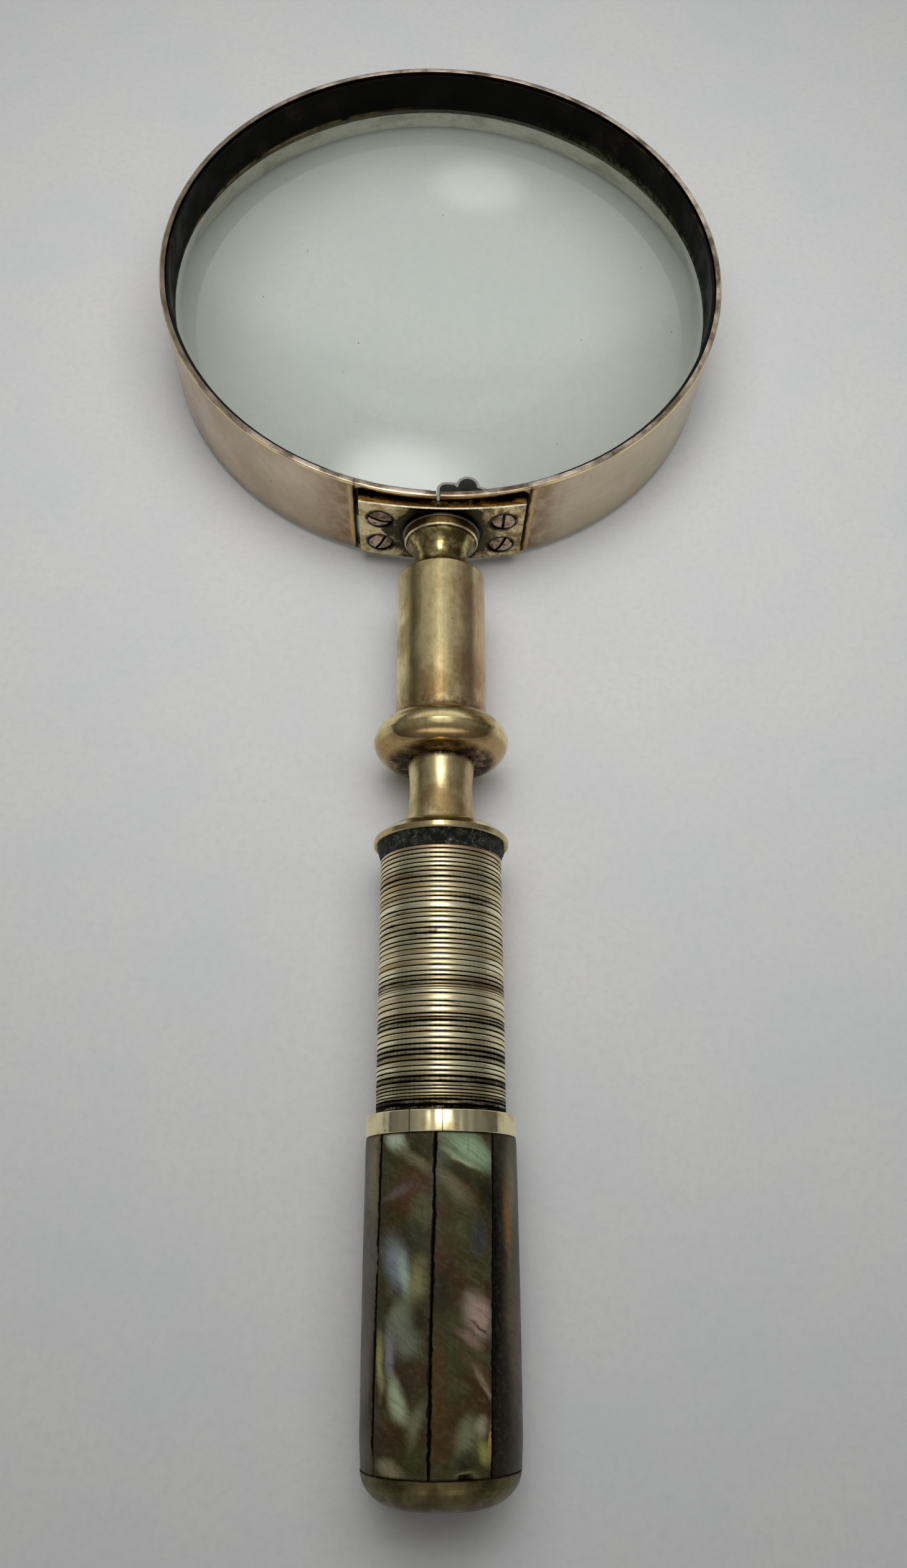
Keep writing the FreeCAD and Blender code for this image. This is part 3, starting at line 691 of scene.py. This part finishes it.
def shell_material(index, patches, width, length):
    """Dark mother of pearl. Its coordinates run across the stave and along it, in millimetres."""
    paint = Paint("shell %d" % index)
    plain = paint.scaled(paint.add("ShaderNodeUVMap", uv_map="stave").outputs[0], 1 / UV_PER_MM)
    flat = paint.stretched((1, 1, 1), shift=(0, 0, index * 17.0), where=plain)
    reach = (1.6, 2.2)
    warp = paint.add("ShaderNodeVectorMath", operation="MULTIPLY_ADD")
    paint.feed(warp.inputs[0], paint.noise(4.0, 3.0, where=flat, output="Color"))
    warp.inputs[1].default_value = (*reach, 0.0)
    paint.feed(warp.inputs[2], flat)
    where = warp.outputs[0]
    clouds = paint.noise(5.0, 4.0, 0.6, where=where)
    paint.base(paint.remap(clouds, 0.35, 0.65), (72, 52, 28), (66, 66, 40))
    flames = paint.noise(1.0, 3.0, 0.5, where=paint.stretched((0.5, 0.16, 1.0), turn=55, where=where))
    paint.layer(paint.remap(flames, 0.5, 0.72, 0.0, 0.5), (98, 98, 74))
    for across, along, wide, long, lean, shade, strength in patches:
        shift = (-across - reach[0] / 2, -along - reach[1] / 2, 0)
        centre = paint.stretched((1, 1, 0), shift, where=where)
        oval = paint.stretched((1 / wide, 1 / long, 0), turn=lean, where=centre)
        span = paint.add("ShaderNodeVectorMath", operation="LENGTH")
        paint.feed(span.inputs[0], oval)
        glow = paint.remap(span.outputs["Value"], 1.6, 0.2, 0.0, strength)
        paint.layer(glow, [min(value * 1.1, 255) for value in shade])
    grain = paint.noise(0.9, 4.0, 0.7, where=where)
    paint.layer(paint.remap(grain, 0.45, 0.75, 0.0, 0.12), (150, 150, 126))
    lines = paint.noise(1.0, 4.0, 0.65, where=paint.stretched((2.6, 0.3, 1.0), turn=60, where=where))
    paint.layer(paint.remap(lines, 0.45, 0.7, 0.0, 0.4), (40, 32, 22))
    fibres = paint.noise(1.0, 3.0, 0.6, where=paint.stretched((4.0, 0.2, 1.0), where=where))
    paint.layer(paint.remap(fibres, 0.5, 0.8, 0.0, 0.3), (30, 24, 16))
    across, along, _ = paint.axes(plain)
    ragged = paint.spread(paint.noise(1.3, 3.0, 0.6, where=flat), 0.0, 0.3)
    ends = paint.either(paint.near(along, 0.0, 0.4), paint.near(along, length, 0.4))
    nearest = paint.math("MINIMUM", across, paint.math("SUBTRACT", width, across))
    sides = paint.remap(paint.math("SUBTRACT", nearest, ragged), 0.1, -0.05)
    paint.layer(paint.either(ends, sides), (14, 10, 6))
    paint.set("Roughness", paint.spread(clouds, 0.26, 0.38))
    paint.set("Specular IOR Level", 0.1)
    paint.bump(lines, 0.006)
    return paint.material


# ---- pieces ----

def stand_in(piece, body, node):
    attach(piece, body)
    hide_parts(node)


WINDOW_SIDES = (-15.5, 15.1)
WINDOW_HALF = 8.7
WINDOW_CORNER = 1.5
SPLIT_SIDES = (-1.15, -0.45)
BAND_WALL = 1.1


def band():
    """Bent brass strip with eased rims, its window for the plate and the split between its ends."""
    low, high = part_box("frame_band")
    outer = radius("frame_band")
    inner = outer - BAND_WALL
    half = (high.z - low.z) / 2 / MM
    middle = (high.z + low.z) / 2 / MM
    ease = 0.16
    chamfer = 0.12

    def turn(x):
        return math.asin(x / outer)

    start, left, right = turn(SPLIT_SIDES[1]), turn(WINDOW_SIDES[0]), turn(WINDOW_SIDES[1])
    end = 2 * math.pi + turn(SPLIT_SIDES[0])
    left += 2 * math.pi
    corner = [WINDOW_CORNER * k / 10 / outer for k in (0, 1, 2, 3.5, 5.5, 8, 10)]
    edge = chamfer / outer
    turns = {start, end, right + edge, left - edge}
    turns |= {right - c for c in corner} | {left + c for c in corner}
    turns |= {right + edge + (left - right - 2 * edge) * k / 300 for k in range(301)}
    turns |= {start + (right - corner[-1] - start) * k / 12 for k in range(13)}
    turns |= {left + corner[-1] + (end - left - corner[-1]) * k / 12 for k in range(13)}
    ordered = sorted(turns)
    ordered = [a for k, a in enumerate(ordered) if k == 0 or a - ordered[k - 1] > 1e-5]

    def opening(angle):
        """Half height of the window here, and whether this column is in it."""
        inside = angle <= right + 1e-6 or angle >= left - 1e-6
        away = min(abs(angle - right), abs(angle - left)) * outer
        if not inside:
            return WINDOW_HALF - WINDOW_CORNER, False
        if away >= WINDOW_CORNER:
            return WINDOW_HALF, True
        rise = math.sqrt(WINDOW_CORNER ** 2 - (WINDOW_CORNER - away) ** 2)
        return WINDOW_HALF - WINDOW_CORNER + rise, True

    bm = bmesh.new()
    columns = []
    for angle in ordered:
        reach, inside = opening(angle)
        lip = outer - chamfer if inside else outer
        loop = [(reach, inner), (reach, lip), (reach + chamfer, outer), (half - ease, outer),
                (half - ease * 0.3, outer - ease * 0.3), (half, outer - ease), (half, inner + ease),
                (half - ease * 0.3, inner + ease * 0.3), (half - ease, inner)]
        across, back = math.sin(angle), -math.cos(angle)
        sides = [[bm.verts.new(Vector((r * across, r * back, middle + sign * h)) * MM)
                  for h, r in loop] for sign in (1, -1)]
        columns.append((sides, inside))
    for (here, in_here), (there, in_there) in zip(columns, columns[1:]):
        for side in (0, 1):
            for i in range(1, len(here[side]) - 1):
                bm.faces.new((here[side][i], here[side][i + 1], there[side][i + 1], there[side][i]))
            bm.faces.new((here[side][-1], here[side][0], there[side][0], there[side][-1]))
        if in_here and in_there:
            for side in (0, 1):
                bm.faces.new((here[side][0], here[side][1], there[side][1], there[side][0]))
        else:
            for i in (0, 1):
                bm.faces.new((here[0][i], here[1][i], there[1][i], there[0][i]))
        if in_here != in_there:
            wall = here if in_here else there
            bm.faces.new((wall[0][0], wall[0][1], wall[1][1], wall[1][0]))
    for sides, _ in (columns[0], columns[-1]):
        for side in sides:
            bm.faces.new(side)
    piece = finish_mesh("band_ring", bm, sharp=50)
    piece.data.materials.append(band_material())
    stand_in(piece, "lens_head", "frame_band")


TURNS = 54
WIDE_TURNS = {11: 0.75, 12: 1.9, 13: 0.7, 27: 0.6, 28: 0.55, 29: 0.5, 30: 0.6, 31: 2.0, 32: 0.6, 33: 1.4,
              34: 0.6, 35: 0.6, 47: 0.75, 48: 0.7, 49: 0.65, 50: 0.55, 51: 0.55}
# Dirty bands on the winding: (place along it, half width as a share of its length, strength).
WORN_BANDS = [(0.12, 0.04, 0.5), (0.54, 0.035, 0.75), (0.68, 0.03, 0.7), (0.8, 0.05, 0.55),
              (0.9, 0.05, 0.7), (0.985, 0.06, 1.0)]


def winding():
    """One wire wound round the grip, its turns a little uneven and some of them wide and flat."""
    rng = random.Random(4)
    start, end = stations("wire_winding")
    outer = radius("wire_winding") - 0.02
    core = radius("grip_core") + 0.05
    per_turn = 80
    widths = [WIDE_TURNS.get(k, 1.0) * rng.uniform(0.86, 1.14) for k in range(TURNS)]
    total = sum(widths)
    edges = [start]
    for width in widths:
        edges.append(edges[-1] + width * (end - start) / total)
    flat = [1.0 if WIDE_TURNS.get(k, 1.0) > 1.2 else 0.0 for k in range(TURNS)]
    lift = [rng.uniform(-0.05, 0.0) for _ in range(TURNS)]

    def edge(t):
        t = min(max(t, 0.0), TURNS)
        k = min(int(t), TURNS - 1)
        wobble = 0.06 * ripple(t * 2.3, 0.0, 3) if 0 < t < TURNS else 0.0
        return lerp(edges[k], edges[k + 1], t - k) + wobble

    def between(values, t):
        t = min(max(t, 0.0), TURNS - 1.0)
        k = min(int(t), TURNS - 2)
        return lerp(values[k], values[k + 1], smooth((t - k) * 3 - 1))

    shape = [0.0, 0.03, 0.09, 0.18, 0.32, 0.5, 0.68, 0.82, 0.91, 0.97, 1.0]
    bm = bmesh.new()
    rows = []
    for n in range((TURNS + 1) * per_turn + 1):
        u = n / per_turn
        angle = 2 * math.pi * u
        left, right = edge(u - 1), edge(u)
        if right - left < 0.02:
            right = left + 0.02
        crest = outer + between(lift, u) + 0.02 * ripple(u * 3.0, 5.0, 9)
        power = lerp(2.9, 5.0, between(flat, u))
        row = [(left + 0.02, core)]
        for t in shape:
            bulge = (1 - abs(2 * t - 1) ** power) ** (1 / power)
            row.append((lerp(left, right, t), lerp(outer - 0.36, crest, bulge)))
        row.append((right - 0.02, core))
        rows.append([bm.verts.new(on_handle(s, min(r, outer), angle)) for s, r in row])
    for here, there in zip(rows, rows[1:]):
        for i in range(len(here)):
            j = (i + 1) % len(here)
            bm.faces.new((here[i], here[j], there[j], there[i]))
    for row in (rows[0], rows[-1]):
        bm.faces.new(row)
    piece = finish_mesh("winding_wire", bm, sharp=60)
    piece.data.materials.append(wire_material(outer, WORN_BANDS))
    stand_in(piece, "handle", "wire_winding")


def packing():
    """Lumpy ring of dark cement under the flange."""
    start, end = stations("packing_ring")
    outer = radius("packing_ring")
    inner = radius("grip_core") - 1.6

    def lumpy(position, r, angle):
        if r < inner + 0.1:
            return position, r
        x, y = math.cos(angle) * r, math.sin(angle) * r
        bump = noise.fractal(Vector((x * 0.9, y * 0.9, position * 0.9)), 0.7, 2.0, 4)
        return position, r - 0.16 + 0.16 * bump

    steps = 12
    face = [(lerp(start, end, k / steps), lerp(outer, outer - 0.7, smooth(k / steps * 0.9)))
            for k in range(steps + 1)]
    profile = [(start, inner)] + face + [(end, inner)]
    piece = lathe("cement_ring", profile, 240, shape=lumpy)
    piece.data.materials.append(cement_material())
    stand_in(piece, "handle", "packing_ring")


LENS_SAG = 5.6
LENS_BEVEL = 0.1
LENS_SEGMENTS = 240


def lens():
    """Biconvex glass, turned finely enough for clean refraction, with a ground edge."""
    low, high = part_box("lens")
    rim = radius("lens")
    top, bottom = high.z / MM, low.z / MM
    inner = rim - LENS_BEVEL
    sphere = (inner ** 2 + LENS_SAG ** 2) / (2 * LENS_SAG)
    rings = 40
    up = [(top - (sphere - math.sqrt(sphere ** 2 - (inner * k / rings) ** 2)), inner * k / rings)
          for k in range(rings + 1)]
    down = [(top + bottom - h, r) for h, r in reversed(up)]
    edge = [(top - LENS_SAG - LENS_BEVEL, rim), (bottom + LENS_SAG + LENS_BEVEL, rim)]
    piece = lathe("lens_glass", up + edge + down, LENS_SEGMENTS, place=on_lens_axis)
    piece.data.materials.append(glass_material())
    piece.data.materials.append(ground_edge_material())
    edge_from = (rim - LENS_BEVEL * 0.9) * MM * math.cos(math.pi / LENS_SEGMENTS)
    for face in piece.data.polygons:
        if math.hypot(face.center.x, face.center.y) > edge_from:
            face.material_index = 1
    stand_in(piece, "lens_head", "lens")


def ferrule():
    """Polished ring, hammered very slightly flat in places."""
    start, end = stations("ferrule")
    outer = radius("ferrule")
    inner = 6.95

    def faceted(position, r, angle):
        if r < outer - 1:
            return position, r
        across, up = math.sin(angle), math.cos(angle)
        broad = noise.noise(Vector((across * 5.0, up * 5.0, 3.0)))
        fine = noise.noise(Vector((across * 12.0, up * 12.0, 9.0 + position * 0.05)))
        return position, r - 0.12 + 0.07 * broad + 0.05 * fine

    def scratches(paint):
        above = paint.remap(paint.z, AXIS_Z, AXIS_Z + 1)
        lines = paint.either(paint.near(paint.x, -4.65, 0.12), paint.near(paint.x, -0.15, 0.12))
        return paint.both(lines, above)

    profile = rounded([(start, inner, 0), (start, outer), (end, outer), (end, inner, 0)], 0.22)
    piece = lathe("ferrule_ring", profile, 352, shape=faceted)
    piece.data.materials.append(brass("ferrule brass", (248, 238, 196), (222, 202, 148), (0.14, 0.24),
                                      patina=0.35, size=5.0, tones=[(scratches, (70, 54, 34))],
                                      mottle=0.15))
    stand_in(piece, "handle", "ferrule")


STAVES = 8
FIRST_SEAM = 39.5       # degrees from straight up to the first seam at the ferrule, towards +X
SEAM_DRIFT = -5.0       # degrees by which the seams wander round on their way to the cap
CHIPPED = 7             # stave with a chip at the cap
SEAM_GAP = 0.07         # from a seam to the edge of its stave


def stave(index):
    """One shell stave, a little flatter than the round, with eased edges along its seams."""
    node = "pearl_stave_%d" % (index + 1)
    start, end = stations(node)
    cap_r = radius("end_cap")
    inner = radius("butt_core") + 0.1
    width = 2 * math.pi / STAVES
    outer = 10.85
    columns = 26
    rows = [k / 60 for k in range(58)]
    rows += [0.956, 0.962, 0.967, 0.972, 0.977, 0.982, 0.987, 0.992, 0.996, 1.0]

    def seam(k, t):
        wander = 0.012 * ripple(t * 6.0, (k % STAVES) * 3.7, 2)
        return math.radians(FIRST_SEAM + SEAM_DRIFT * t) + k * width + wander

    def chip(s, t):
        """Depth broken away at this place."""
        if index != CHIPPED:
            return 0.0
        across = 1 - abs(s - 0.58) / (0.14 + 0.03 * ripple(s * 30, 0, 4))
        along = (t - 0.978) / 0.014
        return 0.75 * smooth(min(across * 2.5, along))

    bm = bmesh.new()
    layer = bm.loops.layers.uv.new("stave")
    lookup = {}
    rings = []
    for t in rows:
        station = lerp(start, end, t)
        belly = 0.06 * math.sin(math.pi * min(t * 1.1, 1.0))
        body = lerp(outer + belly, cap_r + 0.05, smooth((t - 0.9) / 0.1))
        gap = SEAM_GAP / body
        a, b = seam(index, t) + gap, seam(index + 1, t) - gap
        end_away = min(t, 1 - t) * (end - start)
        ring = []
        for j in range(columns + 1):
            s = lerp(j / columns, 0.5 - 0.5 * math.cos(math.pi * j / columns), 0.6)
            edge_away = min(s, 1 - s) * (b - a) * body
            ease = max(0.0, 1 - edge_away / 0.25)
            r = body - 0.12 * ease ** 2 - 0.12 * (1 - (2 * s - 1) ** 2)
            r -= 0.08 * max(0.0, 1 - end_away / 0.2) ** 2 + chip(s, t)
            ring.append((r, lerp(a, b, s), s * (b - a) * body))
        ring += [(inner, b, (b - a) * body), (inner, a, 0.0)]
        verts = []
        for r, angle, across in ring:
            vert = bm.verts.new(on_handle(station, r, angle))
            lookup[vert] = (across * UV_PER_MM, (station - start) * UV_PER_MM)
            verts.append(vert)
        rings.append(verts)
    for here, there in zip(rings, rings[1:]):
        for i in range(len(here)):
            j = (i + 1) % len(here)
            bm.faces.new((here[i], here[j], there[j], there[i]))
    bm.faces.new(rings[0])
    bm.faces.new(rings[-1])
    for face in bm.faces:
        for loop in face.loops:
            loop[layer].uv = lookup[loop.vert]
    patches = PATCHES.get(index) or loose_patches(random.Random(40 + index))
    piece = finish_mesh("shell_stave_%d" % (index + 1), bm, sharp=40)
    shell = shell_material(index, patches, width * outer - 2 * SEAM_GAP, end - start)
    piece.data.materials.append(shell)
    stand_in(piece, "handle", node)


def carry(node, material):
    """A CAD node stays, with this material in all of its slots."""
    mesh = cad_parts[node].data
    mesh.materials.clear()
    mesh.materials.append(material)


# ---- studio ----

FLOOR_SIZE = 6.0        # metres
FLOOR_GAP = 0.0001      # metres between the floor and the ferrule, on which the handle lies
FOCAL_LENGTH = 26.931   # of the camera, in millimetres
EYE = (-5.4236, -173.6361, 185.4854)
EYE_RIGHT = (0.99916288, -0.00366532, 0.04074445)
EYE_UP = (-0.01207444, 0.9251844, 0.37932577)
EYE_AHEAD = (0.03908648, 0.3795002, -0.92436565)


def room_light():
    """A dim room, brighter beyond the object, overhead and in front, with a window high up."""
    world = bpy.data.worlds.new("studio")
    bpy.context.scene.world = world
    world.use_nodes = True
    world.cycles.sampling_method = "NONE"
    sky = Nodes(world.node_tree)
    towards = sky.add("ShaderNodeTexCoord").outputs["Generated"]
    x, y, z = sky.axes(towards)
    rays = sky.add("ShaderNodeLightPath").outputs
    room = sky.both(sky.remap(z, 0.0, 0.4, 0.12, 0.25),
                    sky.remap(sky.both(x, x), 0.15, 0.8, 1.0, 0.6))
    beyond = sky.both(sky.remap(y, 0.4, 0.8, 0.0, 0.5), sky.remap(z, 0.3, 0.55))
    overhead = sky.remap(z, 0.9, 0.97, 0.0, 0.5)
    in_front = sky.both(sky.remap(y, -0.6, -0.8), sky.remap(z, 0.35, 0.55))
    window = sky.remap(sky.away(towards, (-0.08, 0.24, 0.967)), 0.17, 0.06, 0.0, 3.2)

    # Matt surfaces get less of this light and none of the window, and the camera sees one even grey.
    matt, seen = rays["Is Diffuse Ray"], rays["Is Camera Ray"]
    total = sky.combine("ADD", room, beyond, overhead, in_front)
    total = sky.math("ADD", sky.both(total, sky.remap(matt, 0.0, 1.0, 1.0, 0.36)),
                     sky.both(window, sky.remap(matt, 0.0, 1.0, 1.0, 0.0)))
    total = sky.math("ADD", sky.both(total, sky.remap(seen, 0.0, 1.0, 1.0, 0.0)),
                     sky.remap(seen, 0.0, 1.0, 0.0, 0.42))
    back = sky.tree.nodes["Background"]
    back.inputs["Color"].default_value = (1.0, 0.99, 0.975, 1.0)
    sky.feed(back.inputs["Strength"], total)


def lamp(name, size, place, aim, watts, colour, shiny):
    """Rectangular lamp, with its lengths in metres. Only a shiny one shows in reflections."""
    data = bpy.data.lights.new(name, "AREA")
    data.shape = "RECTANGLE"
    data.size, data.size_y = size
    data.energy = watts
    data.color = colour
    light = bpy.data.objects.new(name, data)
    light.location = place
    light.rotation_euler = (Vector(aim) - Vector(place)).to_track_quat("-Z", "Y").to_euler()
    light.visible_glossy = shiny
    light.visible_transmission = False
    light.visible_camera = False
    bpy.context.scene.collection.objects.link(light)
    return data


def studio():
    """Pale floor, soft overhead light and the camera."""
    bpy.ops.mesh.primitive_grid_add(x_subdivisions=8, y_subdivisions=8, size=FLOOR_SIZE)
    floor = bpy.context.object
    floor.name = "floor"
    floor.location = (0, 0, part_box("ferrule")[0].z - FLOOR_GAP)
    floor.data.materials.append(floor_material())

    room_light()
    lamp("soft overhead", (0.24, 0.24), (0.01, -0.022, 0.245), (0.01, 0.05, 0.0), 0.385,
         (1.0, 0.998, 0.99), shiny=False)
    panel = lamp("panel", (0.29, 0.36), (-0.03, 0.03, 0.6), (-0.03, 0.03001, 0.0), 1.0,
                 (1.0, 0.99, 0.96), shiny=True)
    panel.use_nodes = True
    glow = Nodes(panel.node_tree)
    across, along, _ = glow.axes(glow.add("ShaderNodeNewGeometry").outputs["Parametric"])
    fades = [glow.remap(place, edge, full) for place in (across, along)
             for edge, full in ((0.0, 0.3), (1.0, 0.7))]
    glow.feed(glow.tree.nodes["Emission"].inputs["Strength"], glow.both(*fades))

    camera = bpy.data.cameras.new("camera")
    camera.sensor_fit = "VERTICAL"
    camera.sensor_height = 36.0
    camera.lens = FOCAL_LENGTH
    camera.clip_start = 0.01
    eye = bpy.data.objects.new("camera", camera)
    turn = Matrix((EYE_RIGHT, EYE_UP, -Vector(EYE_AHEAD))).transposed().to_4x4()
    eye.matrix_world = Matrix.Translation(Vector(EYE) * MM) @ turn
    bpy.context.scene.collection.objects.link(eye)
    bpy.context.scene.camera = eye
    bpy.context.scene.view_settings.view_transform = "Standard"


# ---- everything together ----

PALE = (236, 220, 168)
TAN = (186, 160, 112)
# Shade of the painted dark reflection on the tube and neck.
OLIVE_REFLECTION = (172, 160, 110)
PINK = (192, 156, 124)
SCREWS = [(-10.8, 12.9), (10.8, 12.9), (-10.8, 5.9), (10.8, 5.9)]
SLOT_STATION = 52.7

band()
strip = strip_material()
for node in ("retaining_strip_upper", "backing_strap_upper", "backing_strap_lower"):
    carry(node, strip)
carry("retaining_strip_lower", brass(
    "worn strip", (228, 225, 216), (204, 200, 188), (0.4, 0.55),
    patina=0.4, size=6.0, lines=(20.0, 20.0, 0.5)))
carry("saddle_plate", plate_material(SCREWS, radius("stud_washer")))
carry("plate_screws", screw_material(SLOT_STATION))
washer = stations("stud_washer")
carry("stud_washer", brass(
    "washer", (78, 76, 62), (40, 38, 30), (0.35, 0.5), patina=0.6, size=3.0,
    tones=[(stretch_of(washer[1] - 0.12, washer[1] + 0.2, 0.05, 0.7),
            (150, 146, 122))]))
stud = stations("handle_stud")
carry("handle_stud", brass(
    "stud brass", (206, 190, 134), (112, 98, 58), (0.2, 0.34), patina=0.7, size=2.4,
    grime=[(55.85, 0.3), (61.5, 1.2)],
    tones=[(stretch_of(53.8, 55.35, 0.1, 0.8), (170, 136, 76)),
           # This tone is a painted highlight on the collar's front rim.
           (stretch_of(55.5, 55.72, 0.05, 0.9), (250, 240, 200))]))
tube = stations("socket_tube")
carry("socket_tube", brass(
    "tube brass", PALE, TAN, (0.24, 0.34), patina=0.4, size=9.0,
    lines=(0.6, 12.0, 0.6), grime=[(tube[1], 1.6)], specks=0.03,
    # The olive stripe on the tube is a painted reflection of a dark part of the room.
    tones=[(flank(0.8, 6.0, 0.7), PINK), (dark_reflection_stripe(-5.1, 2.0, 0.9), OLIVE_REFLECTION),
           (stretch_of(tube[1] - 2.5, tube[1] + 1, 1.5, 0.8, 1.5), (150, 112, 78))]))
bead = stations("bead_collar")
carry("bead_collar", brass(
    "bead brass", (238, 220, 166), (186, 162, 108), (0.12, 0.24), patina=0.4,
    grime=[(bead[0], 0.7), (bead[1], 0.8)],
    # The first tone is a painted reflection of the neck on the bead's lower side.
    tones=[(stretch_of(95.7, 98.6, 0.5, 0.75), (170, 136, 88)),
           (stretch_of(91.0, 93.0, 0.5, 0.7, 1.6), (140, 118, 72))]))
neck = stations("neck_tube")
carry("neck_tube", brass(
    "neck brass", PALE, TAN, (0.28, 0.38), patina=0.5,
    grime=[(neck[0], 1.1), (neck[1], 0.9)],
    # The olive stripe on the neck is a painted reflection of a dark part of the room.
    tones=[(flank(0.0, 4.5, 0.6), (196, 168, 132)), (dark_reflection_stripe(-3.8, 1.2, 0.7), OLIVE_REFLECTION)]))
flange = stations("top_flange")
carry("top_flange", brass(
    "flange brass", (238, 224, 176), (190, 168, 116), (0.18, 0.3),
    patina=0.45, size=3.0, grime=[(neck[1], 0.5)],
    tones=[(stretch_of(flange[1] - 1.0, flange[1] + 1, 0.2, 0.7), (200, 182, 138))]))
cap_at = stations("end_cap")
cap = brass(
    "cap brass", (120, 108, 74), (88, 78, 50), (0.36, 0.5), patina=0.5, size=5.0,
    grime=[(cap_at[0], 0.2), (cap_at[1], 0.2)], mottle=0.25,
    tones=[(stretch_of(cap_at[1] + 0.1, cap_at[1] + 0.7, 0.1, 0.7), (176, 150, 130))])
carry("end_cap", cap)
carry("cap_nut", cap)
wood = wood_material()
carry("grip_core", wood)
carry("butt_core", wood)
carry("tie_rod", steel_material())
lens()
packing()
winding()
ferrule()
for number in range(STAVES):
    stave(number)
studio()
